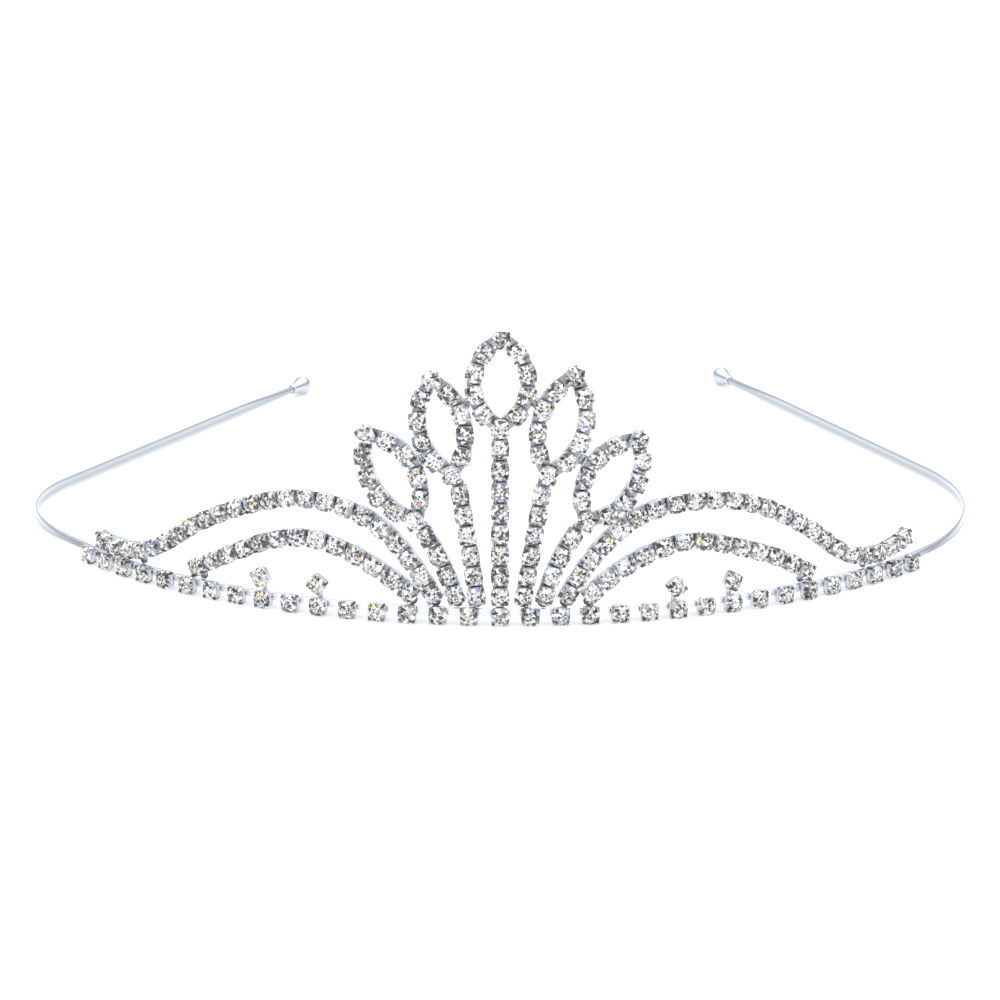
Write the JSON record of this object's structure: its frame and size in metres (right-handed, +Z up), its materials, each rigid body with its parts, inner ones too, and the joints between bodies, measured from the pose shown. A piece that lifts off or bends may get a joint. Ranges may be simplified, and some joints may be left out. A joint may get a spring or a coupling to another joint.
{
  "type": "bridal tiara",
  "caption": "Crystal bridal tiara: a crown of soldered rhinestone leaves and arches on a sprung wire headband that opens to grip the head.",
  "frame": {"origin": "On the resting plane, below the middle of the whole object's box.", "axes": "+Z up, -Y the decorated front, +X to the right as seen from the front."},
  "size_m": [0.146, 0.1426, 0.0434],
  "materials": {
    "plated_wire": "bright silver plating on drawn spring wire",
    "plated_cups": "bright silver plating on pressed claw cups",
    "plated_strip": "silver plating on flat brass strip",
    "solder": "plated over soft solder, slightly uneven",
    "crystal": "clear faceted glass with a foiled back"
  },
  "bodies": {
    "crown": {"headband_wire": "plated_wire", "row_cups": "plated_cups", "row_links": "plated_strip", "row_stones": "crystal", "chain_links": "plated_strip", "solder_pads": "solder", "bud_cups": "plated_cups", "bud_stones": "crystal", "bud_posts": "plated_wire", "center_stem_strip": "plated_strip", "center_stem_cups": "plated_cups", "center_stem_stones": "crystal", "left_inner_stem_strip": "plated_strip", "left_inner_stem_cups": "plated_cups", "left_inner_stem_stones": "crystal", "right_inner_stem_strip": "plated_strip", "right_inner_stem_cups": "plated_cups", "right_inner_stem_stones": "crystal", "left_outer_stem_strip": "plated_strip", "left_outer_stem_cups": "plated_cups", "left_outer_stem_stones": "crystal", "right_outer_stem_strip": "plated_strip", "right_outer_stem_cups": "plated_cups", "right_outer_stem_stones": "crystal", "center_leaf_strip": "plated_strip", "center_leaf_cups": "plated_cups", "center_leaf_stones": "crystal", "left_inner_leaf_strip": "plated_strip", "left_inner_leaf_cups": "plated_cups", "left_inner_leaf_stones": "crystal", "right_inner_leaf_strip": "plated_strip", "right_inner_leaf_cups": "plated_cups", "right_inner_leaf_stones": "crystal", "left_outer_leaf_strip": "plated_strip", "left_outer_leaf_cups": "plated_cups", "left_outer_leaf_stones": "crystal", "right_outer_leaf_strip": "plated_strip", "right_outer_leaf_cups": "plated_cups", "right_outer_leaf_stones": "crystal", "left_upper_arch_strip": "plated_strip", "left_upper_arch_cups": "plated_cups", "left_upper_arch_stones": "crystal", "right_upper_arch_strip": "plated_strip", "right_upper_arch_cups": "plated_cups", "right_upper_arch_stones": "crystal", "left_lower_arch_strip": "plated_strip", "left_lower_arch_cups": "plated_cups", "left_lower_arch_stones": "crystal", "right_lower_arch_strip": "plated_strip", "right_lower_arch_cups": "plated_cups", "right_lower_arch_stones": "crystal"},
    "left_arm": {"left_arm_wire": "plated_wire", "left_ball_tip": "plated_wire"},
    "right_arm": {"right_arm_wire": "plated_wire", "right_ball_tip": "plated_wire"}
  },
  "joints": [
    {"name": "left_arm_flex", "type": "hinge", "parent": "crown", "child": "left_arm", "pos_m": [-0.06135, -0.03861, 0.0016], "axis": [0, 0, 1], "range_deg": [-3, 18], "stiffness_Nm_per_rad": 0.15},
    {"name": "right_arm_flex", "type": "hinge", "parent": "crown", "child": "right_arm", "pos_m": [0.06348, -0.03861, 0.0016], "axis": [0, 0, -1], "range_deg": [-3, 18], "stiffness_Nm_per_rad": 0.15}
  ]
}
